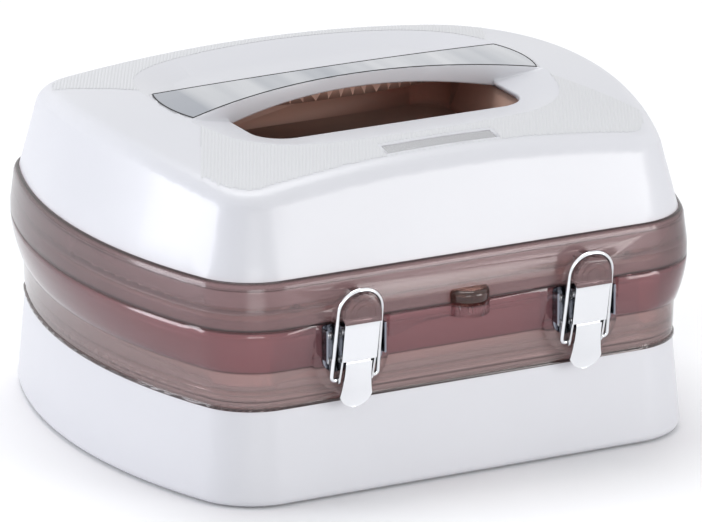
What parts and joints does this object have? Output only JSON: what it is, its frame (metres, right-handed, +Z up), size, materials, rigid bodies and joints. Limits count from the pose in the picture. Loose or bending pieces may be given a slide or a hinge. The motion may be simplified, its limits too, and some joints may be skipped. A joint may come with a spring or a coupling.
{
  "type": "makeup storage case",
  "caption": "Rounded cosmetics case: white tub and crowned lid joined by smoked bands, a bow-shaped bar handle over a finger well, and draw latches in front.",
  "frame": {"origin": "middle of the underside, on the floor", "axes": "+Z up, latches face -Y, +X to the right of someone facing the latches"},
  "size_m": [0.34, 0.309, 0.1909],
  "materials": {
    "shell": "satin white moulding",
    "smoked_upper": "smoked, half clear",
    "smoked_lower": "smoked, half clear",
    "smoked_inner": "smoked, half clear",
    "amber": "clear amber",
    "chrome": "polished",
    "steel": "plain",
    "plate": "satin",
    "rubber": "matt"
  },
  "bodies": {
    "base": {"base_shell": "shell", "rubber_feet": "rubber", "lower_band": "smoked_lower", "band_screws": "steel", "lift_out_tray": "smoked_inner", "tray_divider_1": "smoked_inner", "tray_divider_2": "smoked_inner", "tray_divider_3": "smoked_inner", "hinge_pin_left": "steel", "hinge_pin_right": "steel", "latch_bracket_left": "chrome", "latch_rivets_left": "steel", "latch_pin_left": "steel", "latch_bracket_right": "chrome", "latch_rivets_right": "steel", "latch_pin_right": "steel"},
    "lid": {"upper_band": "smoked_upper", "thumb_tab": "amber", "top_cover": "shell", "cover_screws": "steel", "hand_well": "smoked_inner", "well_screws": "steel", "handle_grip": "shell", "handle_screws": "steel", "handle_gasket": "rubber", "handle_plate": "chrome", "label_plate": "plate"},
    "lever_left": {"latch_lever_left": "chrome", "latch_tongue_left": "chrome"},
    "bail_left": {"latch_bail_left": "chrome"},
    "lever_right": {"latch_lever_right": "chrome", "latch_tongue_right": "chrome"},
    "bail_right": {"latch_bail_right": "chrome"}
  },
  "joints": [
    {"name": "lid_hinge", "type": "hinge", "parent": "base", "child": "lid", "pos_m": [0, 0.1503, 0.0997], "axis": [-1, 0, 0], "range_deg": [0, 100]},
    {"name": "lever_left", "type": "hinge", "parent": "base", "child": "lever_left", "pos_m": [-0.06935, -0.1489, 0.0965], "axis": [-1, 0, 0], "range_deg": [0, 110]},
    {"name": "bail_left", "type": "hinge", "parent": "lever_left", "child": "bail_left", "pos_m": [-0.06935, -0.14327, 0.06805], "axis": [-1, 0, 0], "range_deg": [-77, 0]},
    {"name": "lever_right", "type": "hinge", "parent": "base", "child": "lever_right", "pos_m": [0.06935, -0.1489, 0.0965], "axis": [-1, 0, 0], "range_deg": [0, 110]},
    {"name": "bail_right", "type": "hinge", "parent": "lever_right", "child": "bail_right", "pos_m": [0.06935, -0.14327, 0.06805], "axis": [-1, 0, 0], "range_deg": [-77, 0]}
  ],
  "couplings": [
    {"joint": "bail_left", "follows": "lever_left", "ratio": -0.7},
    {"joint": "bail_right", "follows": "lever_right", "ratio": -0.7}
  ]
}
